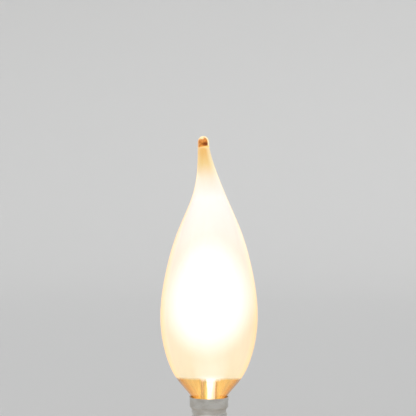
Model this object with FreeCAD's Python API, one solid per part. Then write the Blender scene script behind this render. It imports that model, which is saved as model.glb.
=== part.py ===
import FreeCAD, Part
import math
import os
from FreeCAD import Vector

# A lit candle lamp: a blown glass flame with a bent tip, on a small screw cap.
# Lengths are millimetres. Heights run up the axis of the cap from the lowest point of the
# centre contact. The tip leans towards -X, and the side with the solder on the cap's rim
# is turned to the back.

# Glass envelope
TOTAL_HEIGHT = 105.4
BELLY_RADIUS = 15.88
BELLY_HEIGHT = 46.5
GLASS_WALL = 0.6
NECK_RADIUS = 5.0
NECK_END = 16.8
CONE_CORNER = 19.95  # where the neck's line would meet the cone's line
CONE_SLOPE = 0.874  # growth of the radius for each millimetre of height
CONE_TOP = 24.5
NECK_BEND = 6.4
TIP_RADIUS = 1.82
TIP_LEAN = 1.85
TIP_SOLID = 3.5  # solid glass from the cavity's upper rim to the top
TIP_DRIP = 0.35  # how far that glass hangs into the cavity

# The flame's outline: each point gives a share of the height and a share of the radius,
# from the cone to the belly, and then from the belly to the tip, where a third number is
# the share of the lean. A share under nought leans the other way.
CONE_TO_BELLY = [(0.4, 0.692)]
BELLY_TO_TIP = [(0.25, 0.884, -0.041), (0.5, 0.591, -0.083), (0.7, 0.250, -0.025), (0.85, 0.077, 0.495)]

# Stem of lead glass inside the neck
STEM_RADIUS = 3.5
STEM_WALL = 0.6
FLARE_HEIGHT = 1.8
RIM_THICKNESS = 0.6
TUBE_TOP = 27.0  # top of the hollow inside the stem
TUBE_DOME = 2.4
PRESS_RADIUS = 3.8
PRESS_THICKNESS = 2.6
PRESS_BOTTOM = 25.5  # where the pinch starts to leave the round tube
PRESS_FLAT = 29.2  # from here up the pinch is flat
PRESS_TOP = 34.5
PRESS_ROUNDING = 0.7

# Exhaust tube, closed at its lower end
EXHAUST_RADIUS = 1.2
EXHAUST_BORE = 0.7
EXHAUST_ROOT_RADIUS = 1.8
EXHAUST_ROOT_LENGTH = 1.0
EXHAUST_WIDENING = 2.5
EXHAUST_END = 9.0
EXHAUST_PLUG = 0.8
BLOW_HOLE_RADIUS = 0.55
BLOW_HOLE_HEIGHT = 27.9

# Glass rod that carries the support wires
ROD_RADIUS = 0.9
BUTTON_RADIUS = 1.5
BUTTON_HEIGHT = 44.6

# Filament and its wires
FILAMENT_HEIGHT = 51.5
FILAMENT_RING_RADIUS = 7.5
FILAMENT_COIL = 0.4
FILAMENT_GAP_ANGLE = 90
FILAMENT_GAP_DIRECTION = 90  # from +X towards +Y, so the ring is open at the back
SUPPORT_WIRES = 3
SUPPORT_RADIUS = 0.12
SUPPORT_DEPTH = 0.75
SUPPORT_ELBOW = 48.5
HOOK_CLEARANCE = 0.05
HOOK_LENGTH = 1.1
LEAD_SPACING = 4.4
LEAD_RADIUS = 0.2
LEAD_KNEE = 38.0
LEAD_SHOULDER = 47.0
LEAD_OVERRUN = 0.8
SEAL_RADIUS = 0.22
SEAL_STAND_OUT = 0.35
SEAL_BOTTOM = 25.0
WIRE_BEND = 1.2

# Outer leads
CENTRE_LEAD_KNEE = 11.0
CENTRE_LEAD_TURN = 6.6
CENTRE_LEAD_END = 0.5
FUSE_RADIUS = 0.45
FUSE_TOP = 20.0
FUSE_LENGTH = 4.1
SIDE_LEAD_RADIUS = 0.125
SIDE_LEAD_BOTTOM = 14.4
SIDE_LEAD_RISE_HEIGHT = 15.0
SIDE_LEAD_OUT = 19.2  # height where it reaches the skirt
SIDE_LEAD_GAP = 0.06
SIDE_LEAD_HOOK = 0.4
SIDE_ANGLE = 60  # direction of the side lead, from +X towards +Y
SIDE_SOLDER_RADIUS = 0.6

# Screw cap, a candelabra size Edison thread rolled in thin sheet
CAP_WALL = 0.25
THREAD_MAJOR = 11.89
THREAD_MINOR = 10.62
THREAD_PITCH = 2.54
THREAD_BOTTOM = 5.0
THREAD_TOP = 16.6
THREAD_STEPS = 6  # level rings for each turn
THREAD_RUNOUT = 0.7  # share of a turn over which the thread fades in and out
SKIRT_RADIUS = 6.3
SKIRT_BOTTOM = 17.4
RIM_FLARE = 0.15
RIM_HEIGHT = 1.0
CAP_RIM = 20.6
LIP_RADIUS = 3.7
CEMENT_BOTTOM = 17.6
CEMENT_TOP = 19.5

# Contact end
INSULATOR_BOTTOM = 1.4
INSULATOR_FOOT_RADIUS = 2.6
EYELET_RADIUS = 2.3
EYELET_THICKNESS = 0.3
EYELET_TUBE = 0.75
EYELET_TUBE_WALL = 0.2
EYELET_RISE = 2.0
SOLDER_RADIUS = 1.9
SOLDER_FLAT = 0.9
WIRE_FIT = 0.02

AXIS = Vector(0, 0, 1)
CENTRE = Vector(0, 0, 0)
THREAD_MEAN = (THREAD_MAJOR + THREAD_MINOR) / 4
THREAD_WAVE = (THREAD_MAJOR - THREAD_MINOR) / 4
TIP_START = TOTAL_HEIGHT - TIP_RADIUS
CAVITY_TOP = TOTAL_HEIGHT - TIP_SOLID
LEAD_SIDE = LEAD_SPACING / 2


def at(radius, height, lean=0):
    """A point of a turned profile, drawn at the back so that every seam lies there."""
    return Vector(lean, radius, height)


def line(start, end):
    return Part.makeLine(start, end)


def arc(start, middle, end):
    return Part.Arc(start, middle, end).toShape()


def quarter(start, corner, end):
    """A quarter circle that rounds off the corner between two points."""
    hub = start + end - corner
    return arc(start, hub + (corner - hub) * math.sqrt(0.5), end)


def dish(radius, rim, crown, lean=0):
    """The arc of a round cap, from its rim up or down to its crown on the axis."""
    depth = crown - rim
    ball = (radius ** 2 + depth ** 2) / (2 * depth)
    hub = crown - ball
    half = math.asin(radius / abs(ball)) / 2
    middle = at(abs(ball) * math.sin(half), hub + ball * math.cos(half), lean)
    return arc(at(radius, rim, lean), middle, at(0, crown, lean))


def flare(wide, narrow, low, high):
    """A curve from a wide foot up into an upright tube."""
    step = wide - narrow
    radius = (step ** 2 + (high - low) ** 2) / (2 * step)
    half = math.asin((high - low) / radius) / 2
    middle = at(narrow + radius * (1 - math.cos(half)), high - radius * math.sin(half))
    return arc(at(wide, low), middle, at(narrow, high))


def swept(edges, lean=0):
    """The faces that the edges draw when they turn once round an upright axis."""
    return [edge.revolve(Vector(lean, 0, 0), AXIS, 360) for edge in edges]


def turned(edges):
    """A solid of revolution from a closed profile."""
    return Part.Face(Part.Wire(edges)).revolve(CENTRE, AXIS, 360)


def outline(points):
    """A closed profile of straight lines."""
    return [line(start, end) for start, end in zip(points, points[1:] + points[:1])]


def closed_solid(faces):
    shell = Part.makeShell(faces)
    shell.sewShape()
    solid = Part.makeSolid(shell)
    if solid.Volume < 0:
        solid.reverse()
    return solid


def ring_skin(rings, low_slope, high_slope):
    """A skin through level circles (height, radius, centre x, centre y).

    Radius and centre are smooth functions of the height, and the two slopes are the
    growth of the radius at the lowest and the highest ring.
    """
    heights = [ring[0] for ring in rings]

    def smooth(points, low, high):
        curve = Part.BSplineCurve()
        curve.interpolate(Points=points, Parameters=heights, Scale=False,
                          InitialTangent=Vector(low, 0, 1), FinalTangent=Vector(high, 0, 1))
        return curve

    sizes = smooth([Vector(radius, 0, height) for height, radius, x, y in rings], low_slope, high_slope)
    centres = smooth([Vector(x, y, height) for height, radius, x, y in rings], 0, 0)
    square = [(0, 1), (-1, 1), (-1, 0), (-1, -1), (0, -1), (1, -1), (1, 0), (1, 1), (0, 1)]
    poles = []
    weights = []
    for x, y in square:
        corner = x * y != 0
        column = []
        for size, centre in zip(sizes.getPoles(), centres.getPoles()):
            column.append(Vector(centre.x + size.x * x, centre.y + size.x * y, size.z))
        poles.append(column)
        weights.append([math.sqrt(0.5) if corner else 1] * len(column))
    surface = Part.BSplineSurface()
    surface.buildFromPolesMultsKnots(poles, [3, 2, 2, 2, 3], sizes.getMultiplicities(),
                                     [0, 0.25, 0.5, 0.75, 1], sizes.getKnots(),
                                     False, False, 2, 3, weights)
    return surface.toShape(), sizes, centres


def rod(points, radius, bend=WIRE_BEND):
    """A round wire along straight runs, with the same bend at each inner point."""
    edges = []
    start = points[0]
    for before, corner, after in zip(points, points[1:], points[2:]):
        arriving = (corner - before).normalize()
        leaving = (after - corner).normalize()
        half_turn = arriving.getAngle(leaving) / 2
        setback = bend * math.tan(half_turn)
        inward = (leaving - arriving).normalize()
        middle = corner + inward * (bend / math.cos(half_turn) - bend)
        edges.append(line(start, corner - arriving * setback))
        edges.append(arc(corner - arriving * setback, middle, corner + leaving * setback))
        start = corner + leaving * setback
    edges.append(line(start, points[-1]))
    section = Part.Wire(Part.Circle(points[0], points[1] - points[0], radius).toShape())
    return Part.Wire(edges).makePipeShell([section], True, False)


def polar(radius, degrees, height):
    angle = math.radians(degrees)
    return Vector(radius * math.cos(angle), radius * math.sin(angle), height)


def neck_profile(wall):
    """Neck, bend and cone of the envelope, taken inwards by a wall, as edges going up."""
    half_turn = math.atan(CONE_SLOPE) / 2
    setback = NECK_BEND * math.tan(half_turn)
    bend_low = CONE_CORNER - setback
    bend = NECK_BEND + wall
    hub = NECK_RADIUS + NECK_BEND

    def on_bend(angle):
        return at(hub - bend * math.cos(angle), bend_low + bend * math.sin(angle))

    cone_angle = 2 * half_turn
    cone_end = at(cone_radius(CONE_TOP) - wall * math.cos(cone_angle),
                  CONE_TOP + wall * math.sin(cone_angle))
    foot = at(NECK_RADIUS - wall, NECK_END)
    edges = [line(foot, on_bend(0)), arc(on_bend(0), on_bend(half_turn), on_bend(cone_angle)),
             line(on_bend(cone_angle), cone_end)]
    return edges, foot, cone_end


def cone_radius(height):
    return NECK_RADIUS + CONE_SLOPE * (height - CONE_CORNER)


def flame_rings():
    """The flame's rings from the top of the cone to the start of the round tip."""
    low_radius = cone_radius(CONE_TOP)
    rings = [(CONE_TOP, low_radius, 0, 0)]
    for rise, growth in CONE_TO_BELLY:
        rings.append((CONE_TOP + rise * (BELLY_HEIGHT - CONE_TOP),
                      low_radius + growth * (BELLY_RADIUS - low_radius), 0, 0))
    rings.append((BELLY_HEIGHT, BELLY_RADIUS, 0, 0))
    for rise, share, lean in BELLY_TO_TIP:
        rings.append((BELLY_HEIGHT + rise * (TIP_START - BELLY_HEIGHT),
                      TIP_RADIUS + share * (BELLY_RADIUS - TIP_RADIUS), -lean * TIP_LEAN, 0))
    rings.append((TIP_START, TIP_RADIUS, -TIP_LEAN, 0))
    return rings


def make_envelope():
    neck_outside, outer_foot, outer_cone_end = neck_profile(0)
    neck_inside, inner_foot, inner_cone_end = neck_profile(GLASS_WALL)
    rings = flame_rings()
    outside, radii, middles = ring_skin(rings, CONE_SLOPE, 0)

    tip = quarter(at(TIP_RADIUS, TIP_START, -TIP_LEAN), at(TIP_RADIUS, TOTAL_HEIGHT, -TIP_LEAN),
                  at(0, TOTAL_HEIGHT, -TIP_LEAN))

    # The cavity keeps one wall from the outside, measured square to the glass.
    inner_rings = [(inner_cone_end.z, inner_cone_end.y, 0, 0)]
    for ring in rings[1:]:
        share = (ring[0] - CONE_TOP) / (TIP_START - CONE_TOP)
        height = inner_cone_end.z + share * (CAVITY_TOP - inner_cone_end.z)
        direction = radii.tangent(height)[0]
        wall = GLASS_WALL * direction.Length / direction.z
        inner_rings.append((height, radii.value(height).x - wall, middles.value(height).x, 0))
    top_radius, top_lean = inner_rings[-1][1:3]
    inside, _, _ = ring_skin(inner_rings, CONE_SLOPE, 0)

    drip = dish(top_radius, CAVITY_TOP, CAVITY_TOP - TIP_DRIP, top_lean)

    faces = swept(neck_outside + neck_inside + [line(inner_foot, outer_foot)])
    faces += [outside, inside] + swept([tip], -TIP_LEAN) + swept([drip], top_lean)
    return closed_solid(faces)


def make_stem():
    """Flared tube whose top is pinched flat round the lead-in wires."""
    neck_bore = NECK_RADIUS - GLASS_WALL
    rim_low = NECK_END - RIM_THICKNESS
    flare_top = NECK_END + FLARE_HEIGHT
    tube_bore = STEM_RADIUS - STEM_WALL
    crown = PRESS_TOP - PRESS_ROUNDING
    outside = turned([
        line(at(0, rim_low), at(NECK_RADIUS, rim_low)),
        line(at(NECK_RADIUS, rim_low), at(NECK_RADIUS, NECK_END)),
        line(at(NECK_RADIUS, NECK_END), at(neck_bore, NECK_END)),
        flare(neck_bore, STEM_RADIUS, NECK_END, flare_top),
        line(at(STEM_RADIUS, flare_top), at(STEM_RADIUS, PRESS_BOTTOM)),
        line(at(STEM_RADIUS, PRESS_BOTTOM), at(PRESS_RADIUS, PRESS_FLAT)),
        line(at(PRESS_RADIUS, PRESS_FLAT), at(PRESS_RADIUS, crown)),
        line(at(PRESS_RADIUS, crown), at(PRESS_RADIUS - PRESS_ROUNDING, PRESS_TOP)),
        line(at(PRESS_RADIUS - PRESS_ROUNDING, PRESS_TOP), at(0, PRESS_TOP)),
        line(at(0, PRESS_TOP), at(0, rim_low))])

    dome_low = TUBE_TOP - TUBE_DOME
    foot = neck_bore - STEM_WALL
    hollow = turned([
        line(at(0, rim_low), at(foot, rim_low)),
        flare(foot, tube_bore, rim_low, flare_top),
        line(at(tube_bore, flare_top), at(tube_bore, dome_low)),
        dish(tube_bore, dome_low, TUBE_TOP),
        line(at(0, TUBE_TOP), at(0, rim_low))])

    stem = outside.cut([hollow] + pinch_jaws() + seal_wires())
    blow_bore = Part.makeCylinder(EXHAUST_BORE, BLOW_HOLE_HEIGHT - dome_low, Vector(0, 0, dome_low))
    blow_hole = Part.makeCylinder(BLOW_HOLE_RADIUS, PRESS_RADIUS,
                                  Vector(0, 0, BLOW_HOLE_HEIGHT), Vector(0, 1, 0))
    return stem.cut([blow_bore, blow_hole])


def pinch_jaws():
    """The two jaws that squeeze the soft top of the tube."""
    half = PRESS_THICKNESS / 2
    reach = 2 * PRESS_RADIUS
    above = PRESS_TOP + PRESS_ROUNDING
    jaw = Part.Face(Part.Wire([
        flare(STEM_RADIUS, half, PRESS_BOTTOM, PRESS_FLAT),
        line(at(half, PRESS_FLAT), at(half, above)),
        line(at(half, above), at(reach, above)),
        line(at(reach, above), at(reach, PRESS_BOTTOM)),
        line(at(reach, PRESS_BOTTOM), at(STEM_RADIUS, PRESS_BOTTOM))])).extrude(Vector(2 * reach, 0, 0))
    jaw.translate(Vector(-reach, 0, 0))
    return [jaw, jaw.mirror(CENTRE, Vector(0, 1, 0))]


def seal_wires():
    length = PRESS_TOP + SEAL_STAND_OUT - SEAL_BOTTOM
    return [Part.makeCylinder(SEAL_RADIUS, length, Vector(side * LEAD_SIDE, 0, SEAL_BOTTOM))
            for side in (-1, 1)]


def make_exhaust_tube(stem):
    """Slim tube inside the stem, melted shut at its lower end."""
    tip_top = EXHAUST_END + EXHAUST_RADIUS
    bore_low = tip_top + EXHAUST_PLUG
    root = TUBE_TOP - EXHAUST_ROOT_LENGTH
    tube = turned([
        quarter(at(0, EXHAUST_END), at(EXHAUST_RADIUS, EXHAUST_END), at(EXHAUST_RADIUS, tip_top)),
        line(at(EXHAUST_RADIUS, tip_top), at(EXHAUST_RADIUS, root - EXHAUST_WIDENING)),
        line(at(EXHAUST_RADIUS, root - EXHAUST_WIDENING), at(EXHAUST_ROOT_RADIUS, root)),
        line(at(EXHAUST_ROOT_RADIUS, root), at(EXHAUST_ROOT_RADIUS, TUBE_TOP)),
        line(at(EXHAUST_ROOT_RADIUS, TUBE_TOP), at(EXHAUST_BORE, TUBE_TOP)),
        line(at(EXHAUST_BORE, TUBE_TOP), at(EXHAUST_BORE, bore_low)),
        line(at(EXHAUST_BORE, bore_low), at(0, bore_low)),
        line(at(0, bore_low), at(0, EXHAUST_END))])
    return tube.cut(stem)


def make_support_rod(wires):
    """Glass rod on the pinch, with a melted button that holds the support wires."""
    neck_angle = math.asin(ROD_RADIUS / BUTTON_RADIUS)
    button_low = BUTTON_HEIGHT - BUTTON_RADIUS * math.cos(neck_angle)
    crown = BUTTON_HEIGHT + BUTTON_RADIUS
    rod_and_button = turned([
        line(at(0, PRESS_TOP), at(ROD_RADIUS, PRESS_TOP)),
        line(at(ROD_RADIUS, PRESS_TOP), at(ROD_RADIUS, button_low)),
        arc(at(ROD_RADIUS, button_low), at(BUTTON_RADIUS, BUTTON_HEIGHT), at(0, crown)),
        line(at(0, crown), at(0, PRESS_TOP))])
    return rod_and_button.cut(wires)


def make_support_wires():
    """Each wire rises from the button and hooks over the coil from its inner side."""
    inner = FILAMENT_RING_RADIUS - FILAMENT_COIL - SUPPORT_RADIUS - HOOK_CLEARANCE
    hook = FILAMENT_HEIGHT + FILAMENT_COIL + SUPPORT_RADIUS + HOOK_CLEARANCE
    wires = []
    for number in range(SUPPORT_WIRES):
        share = (number + 1) / (SUPPORT_WIRES + 1)
        degrees = FILAMENT_GAP_DIRECTION + FILAMENT_GAP_ANGLE / 2 + share * (360 - FILAMENT_GAP_ANGLE)
        points = [polar(BUTTON_RADIUS - SUPPORT_DEPTH, degrees, BUTTON_HEIGHT),
                  polar(BUTTON_RADIUS + SUPPORT_DEPTH, degrees, BUTTON_HEIGHT),
                  polar(inner, degrees, SUPPORT_ELBOW), polar(inner, degrees, hook),
                  polar(inner + HOOK_LENGTH, degrees, hook)]
        wires.append(rod(points, SUPPORT_RADIUS, 2 * SUPPORT_RADIUS))
    return wires


def make_filament():
    """The coil as the round outer form of its turns, bent into three quarters of a ring."""
    gap = FILAMENT_GAP_ANGLE + 2 * math.degrees((LEAD_RADIUS + WIRE_FIT) / FILAMENT_RING_RADIUS)
    start = FILAMENT_GAP_DIRECTION + gap / 2
    section = Part.Circle(Vector(FILAMENT_RING_RADIUS, 0, 0), Vector(0, 1, 0), FILAMENT_COIL)
    coil = Part.Face(Part.Wire(section.toShape())).revolve(CENTRE, AXIS, 360 - gap)
    coil.rotate(CENTRE, AXIS, start)
    coil.translate(Vector(0, 0, FILAMENT_HEIGHT))
    return coil


def make_inner_lead(side):
    """Nickel wire from the top of the seal to one end of the filament."""
    low = PRESS_TOP + SEAL_STAND_OUT
    end = polar(FILAMENT_RING_RADIUS, FILAMENT_GAP_DIRECTION - side * FILAMENT_GAP_ANGLE / 2, 0)
    points = [Vector(side * LEAD_SIDE, 0, low), Vector(side * LEAD_SIDE, 0, LEAD_KNEE),
              end + Vector(0, 0, LEAD_SHOULDER), end + Vector(0, 0, FILAMENT_HEIGHT + LEAD_OVERRUN)]
    return rod(points, LEAD_RADIUS)


def make_centre_lead():
    """Copper wire from the seal down to the centre contact."""
    return rod([Vector(-LEAD_SIDE, 0, SEAL_BOTTOM), Vector(-LEAD_SIDE, 0, CENTRE_LEAD_KNEE),
                Vector(0, 0, CENTRE_LEAD_TURN), Vector(0, 0, CENTRE_LEAD_END)], LEAD_RADIUS)


def make_side_lead():
    """Copper wire from the fuse, under the flare's rim and up to the rim of the cap."""
    under_rim = NECK_RADIUS + SIDE_LEAD_RADIUS + SIDE_LEAD_GAP
    at_rim = SKIRT_RADIUS - CAP_WALL - SIDE_LEAD_RADIUS - WIRE_FIT
    over_rim = CAP_RIM + SIDE_LEAD_RADIUS + WIRE_FIT
    points = [Vector(LEAD_SIDE, 0, FUSE_TOP - FUSE_LENGTH), Vector(LEAD_SIDE, 0, SIDE_LEAD_BOTTOM)]
    points += [polar(radius, SIDE_ANGLE, height) for radius, height in [
        (under_rim, SIDE_LEAD_RISE_HEIGHT), (under_rim, NECK_END), (at_rim, SIDE_LEAD_OUT),
        (at_rim, over_rim), (SKIRT_RADIUS + SIDE_LEAD_HOOK, over_rim)]]
    return rod(points, SIDE_LEAD_RADIUS, 3 * SIDE_LEAD_RADIUS)


def thread_rings(wall):
    """Level rings of the rolled thread.

    A level cut through a round thread is a plain circle. Its centre goes once round a
    small circle in each turn, and that small circle grows from nothing at both ends.
    """
    turns = (THREAD_TOP - THREAD_BOTTOM) / THREAD_PITCH
    steps = round(turns * THREAD_STEPS)
    rings = []
    for step in range(steps + 1):
        turn = turns * step / steps
        fade = min(1, turn / THREAD_RUNOUT, (turns - turn) / THREAD_RUNOUT)
        wave = THREAD_WAVE * fade ** 2 * (3 - 2 * fade)
        # The crest faces the side lead half a turn below the skirt.
        angle = math.radians(SIDE_ANGLE) + 2 * math.pi * (turn - turns + 0.5)
        rings.append((THREAD_BOTTOM + turn * THREAD_PITCH, THREAD_MEAN - wall,
                      wave * math.cos(angle), wave * math.sin(angle)))
    return rings


def cap_base_arc(wall):
    """The turned-in lower end of the cap, from its lip up to the thread."""
    turn = THREAD_MEAN - LIP_RADIUS
    hub = THREAD_BOTTOM
    reach = turn - wall
    low = at(LIP_RADIUS, hub - reach)
    return low, quarter(low, at(LIP_RADIUS + reach, hub - reach), at(LIP_RADIUS + reach, hub))


def make_cap_shell():
    """Threaded shell of thin sheet with a plain skirt."""
    faces = []
    rim = []
    lip = []
    for wall in (0, CAP_WALL):
        lip_point, base = cap_base_arc(wall)
        rim_point = at(SKIRT_RADIUS + RIM_FLARE - wall, CAP_RIM)
        skirt_top = at(SKIRT_RADIUS - wall, CAP_RIM - RIM_HEIGHT)
        skirt_low = at(SKIRT_RADIUS - wall, SKIRT_BOTTOM)
        faces += swept([base, line(at(THREAD_MEAN - wall, THREAD_TOP), skirt_low),
                        line(skirt_low, skirt_top), line(skirt_top, rim_point)])
        faces.append(ring_skin(thread_rings(wall), 0, 0)[0])
        rim.append(rim_point)
        lip.append(lip_point)
    faces += swept([line(rim[0], rim[1]), line(lip[0], lip[1])])
    return closed_solid(faces)


def make_insulator():
    """Black glass between the cap's lip and the centre contact."""
    lip_low, _ = cap_base_arc(0)
    lip_high, base = cap_base_arc(CAP_WALL)
    base_top = at(THREAD_MEAN - CAP_WALL, THREAD_BOTTOM)
    return turned([
        line(at(EYELET_TUBE, INSULATOR_BOTTOM), at(INSULATOR_FOOT_RADIUS, INSULATOR_BOTTOM)),
        line(at(INSULATOR_FOOT_RADIUS, INSULATOR_BOTTOM), lip_low),
        line(lip_low, lip_high),
        base,
        line(base_top, at(EYELET_TUBE, THREAD_BOTTOM)),
        line(at(EYELET_TUBE, THREAD_BOTTOM), at(EYELET_TUBE, INSULATOR_BOTTOM))])


def make_eyelet():
    """Brass contact plate with a short tube that holds it in the black glass."""
    bore = EYELET_TUBE - EYELET_TUBE_WALL
    plate_low = INSULATOR_BOTTOM - EYELET_THICKNESS
    tube_top = INSULATOR_BOTTOM + EYELET_RISE
    return turned(outline([
        at(bore, plate_low), at(EYELET_RADIUS, plate_low), at(EYELET_RADIUS, INSULATOR_BOTTOM),
        at(EYELET_TUBE, INSULATOR_BOTTOM), at(EYELET_TUBE, tube_top), at(bore, tube_top)]))


def make_centre_solder(lead):
    """Domed drop of solder on the contact plate, worn flat at the bottom."""
    top = INSULATOR_BOTTOM - EYELET_THICKNESS
    rounding = SOLDER_RADIUS - SOLDER_FLAT
    drop = turned([
        line(at(0, 0), at(SOLDER_FLAT, 0)),
        quarter(at(SOLDER_FLAT, 0), at(SOLDER_RADIUS, 0), at(SOLDER_RADIUS, rounding)),
        line(at(SOLDER_RADIUS, rounding), at(SOLDER_RADIUS, top)),
        line(at(SOLDER_RADIUS, top), at(0, top)),
        line(at(0, top), at(0, 0))])
    return drop.cut(lead)


def make_side_solder(shell, lead):
    """Small drop of solder over the rim that joins the side lead to the cap."""
    bore = SKIRT_RADIUS - CAP_WALL
    reach = 2 * SIDE_SOLDER_RADIUS
    drop = Part.makeSphere(SIDE_SOLDER_RADIUS, polar(SKIRT_RADIUS, SIDE_ANGLE, CAP_RIM))
    inside = Part.makeCylinder(bore, reach, Vector(0, 0, CAP_RIM - reach))
    cone = Part.makeCone(bore, bore + CONE_SLOPE * reach, reach, Vector(0, 0, CAP_RIM))
    return drop.cut([shell, lead, inside, cone])


def make_cement(side_lead):
    """Ring of cement between the neck and the skirt."""
    edges, foot, end = neck_profile(0)
    above = at(0, end.z)
    below = at(0, foot.z)
    neck = turned(edges + [line(end, above), line(above, below), line(below, foot)])
    bore = NECK_RADIUS - GLASS_WALL
    skirt = SKIRT_RADIUS - CAP_WALL
    ring = turned(outline([at(bore, CEMENT_BOTTOM), at(skirt, CEMENT_BOTTOM), at(skirt, CEMENT_TOP),
                           at(bore, CEMENT_TOP)]))
    return ring.cut([neck, side_lead])


def make_parts():
    stem = make_stem()
    seals = seal_wires()
    supports = make_support_wires()
    centre_lead = make_centre_lead()
    side_lead = make_side_lead()
    shell = make_cap_shell()
    parts = {
        "glass_envelope": make_envelope(),
        "stem": stem,
        "exhaust_tube": make_exhaust_tube(stem),
        "support_rod": make_support_rod(supports),
        "filament": make_filament(),
        "left_inner_lead": make_inner_lead(-1),
        "right_inner_lead": make_inner_lead(1),
        "left_seal_wire": seals[0],
        "right_seal_wire": seals[1],
        "centre_lead": centre_lead,
        "fuse_lead": rod([Vector(LEAD_SIDE, 0, SEAL_BOTTOM), Vector(LEAD_SIDE, 0, FUSE_TOP)], LEAD_RADIUS),
        "fuse": Part.makeCylinder(FUSE_RADIUS, FUSE_LENGTH, Vector(LEAD_SIDE, 0, FUSE_TOP - FUSE_LENGTH)),
        "side_lead": side_lead,
        "cap_shell": shell,
        "cap_cement": make_cement(side_lead),
        "cap_insulator": make_insulator(),
        "contact_eyelet": make_eyelet(),
        "centre_solder": make_centre_solder(centre_lead),
        "side_solder": make_side_solder(shell, side_lead),
    }
    for number, wire in enumerate(supports, 1):
        parts["support_wire_%d" % number] = wire
    return parts


os.makedirs("parts", exist_ok=True)
for name, shape in make_parts().items():
    print("%-18s solids %d  volume %9.3f mm3  valid %s"
          % (name, len(shape.Solids), shape.Volume, shape.isValid()))
    shape.exportStep("parts/%s.step" % name)
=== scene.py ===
# %% [markdown]
# # A candle bulb in its own light
# The bulb is a blown glass flame with a bent tip, frosted on the inside, on a small screw cap. It is shown
# lit, so most of what the eye sees is light that leaves the frosting. The solids of every piece come first,
# as a frame, and what is modelled here is made to fit round them.

# %% Tools and frame
import math

import bmesh
import bpy
from mathutils import Matrix, Vector


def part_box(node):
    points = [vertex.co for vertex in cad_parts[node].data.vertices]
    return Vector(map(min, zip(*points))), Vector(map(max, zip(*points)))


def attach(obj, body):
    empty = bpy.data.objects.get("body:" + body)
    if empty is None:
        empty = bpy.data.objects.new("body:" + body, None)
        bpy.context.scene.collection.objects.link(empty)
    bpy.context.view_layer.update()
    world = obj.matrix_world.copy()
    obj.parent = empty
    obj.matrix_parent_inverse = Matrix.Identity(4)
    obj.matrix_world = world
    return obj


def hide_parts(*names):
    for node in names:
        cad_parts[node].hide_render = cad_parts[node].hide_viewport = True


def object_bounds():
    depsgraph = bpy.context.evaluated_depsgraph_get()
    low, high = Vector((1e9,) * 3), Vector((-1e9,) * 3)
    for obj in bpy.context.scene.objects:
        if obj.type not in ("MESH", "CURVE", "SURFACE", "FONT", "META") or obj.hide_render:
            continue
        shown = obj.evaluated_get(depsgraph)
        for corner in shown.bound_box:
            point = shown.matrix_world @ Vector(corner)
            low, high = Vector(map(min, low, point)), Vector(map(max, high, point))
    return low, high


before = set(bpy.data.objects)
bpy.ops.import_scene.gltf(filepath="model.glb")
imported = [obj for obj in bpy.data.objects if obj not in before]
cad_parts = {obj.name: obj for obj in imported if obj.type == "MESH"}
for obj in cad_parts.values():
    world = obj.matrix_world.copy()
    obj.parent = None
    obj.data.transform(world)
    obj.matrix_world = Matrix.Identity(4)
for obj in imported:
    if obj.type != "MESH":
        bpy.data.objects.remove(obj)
solid_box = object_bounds()
MM = 0.001
UP = Vector((0, 0, 1))
RIGHT = Vector((1, 0, 0))
LEFT = Vector((-1, 0, 0))
BULB_HEIGHT = solid_box[1].z - solid_box[0].z
BELLY_WIDTH = solid_box[1].y - solid_box[0].y
print("bulb %.1f mm tall and %.2f mm wide" % (BULB_HEIGHT / MM, BELLY_WIDTH / MM))

# %% [markdown]
# ## The camera
# The picture was taken from a little over the middle of the bulb, level, through a long lens. The belly's
# width on the picture gives the size of one pixel on the bulb, and the lens follows from it and the distance.

# %% Camera
FRAME_PIXELS = 416
BELLY_PIXELS = 97.55
AXIS_COLUMN = 209.0
TOP_ROW = 136.1
CAMERA_DISTANCE = 0.433
SENSOR_WIDTH = 36
NEAREST_SEEN = 0.01


def add_object(name, data):
    """A new object in the scene that shows a mesh, a curve, a lamp or a camera."""
    made = bpy.data.objects.new(name, data)
    bpy.context.scene.collection.objects.link(made)
    return made


pixel = BELLY_WIDTH / BELLY_PIXELS
lens_data = bpy.data.cameras.new("camera")
lens_data.sensor_width = SENSOR_WIDTH
lens_data.lens = SENSOR_WIDTH * CAMERA_DISTANCE / (pixel * FRAME_PIXELS)
lens_data.clip_start = NEAREST_SEEN
camera = add_object("camera", lens_data)
camera.location = ((FRAME_PIXELS / 2 - AXIS_COLUMN) * pixel, -CAMERA_DISTANCE,
                   solid_box[1].z - (FRAME_PIXELS / 2 - TOP_ROW) * pixel)
camera.rotation_euler = (math.pi / 2, 0, 0)
bpy.context.scene.camera = camera
print("one pixel is %.4f mm, lens %.1f mm" % (pixel / MM, lens_data.lens))

# %% [markdown]
# ## Helpers for materials
# Every finish starts from a Principled shader. A few helpers keep the node code short. Patterns read Object
# coordinates, which are metres here, because each piece sits at the origin with its place in its mesh.

# %% Material helpers
def finish(name, **values):
    """A new material and its Principled shader, with values set on the shader's own sockets."""
    material = bpy.data.materials.new(name)
    material.use_nodes = True
    shader = material.node_tree.nodes["Principled BSDF"]
    for socket, value in values.items():
        shader.inputs[socket.replace("_", " ")].default_value = value
    print("finish: %s" % name)
    return material, shader


def feed(material, value, socket):
    """Links an output to a socket, or sets a plain value on it."""
    if isinstance(value, bpy.types.NodeSocket):
        material.node_tree.links.new(value, socket)
    else:
        socket.default_value = value


def add_node(material, kind, settings=None, **values):
    """A new node with its settings, and with outputs or plain values on its named sockets."""
    made = material.node_tree.nodes.new(kind)
    for name, value in (settings or {}).items():
        setattr(made, name, value)
    for socket, value in values.items():
        feed(material, value, made.inputs[socket.replace("_", " ")])
    return made


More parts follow.
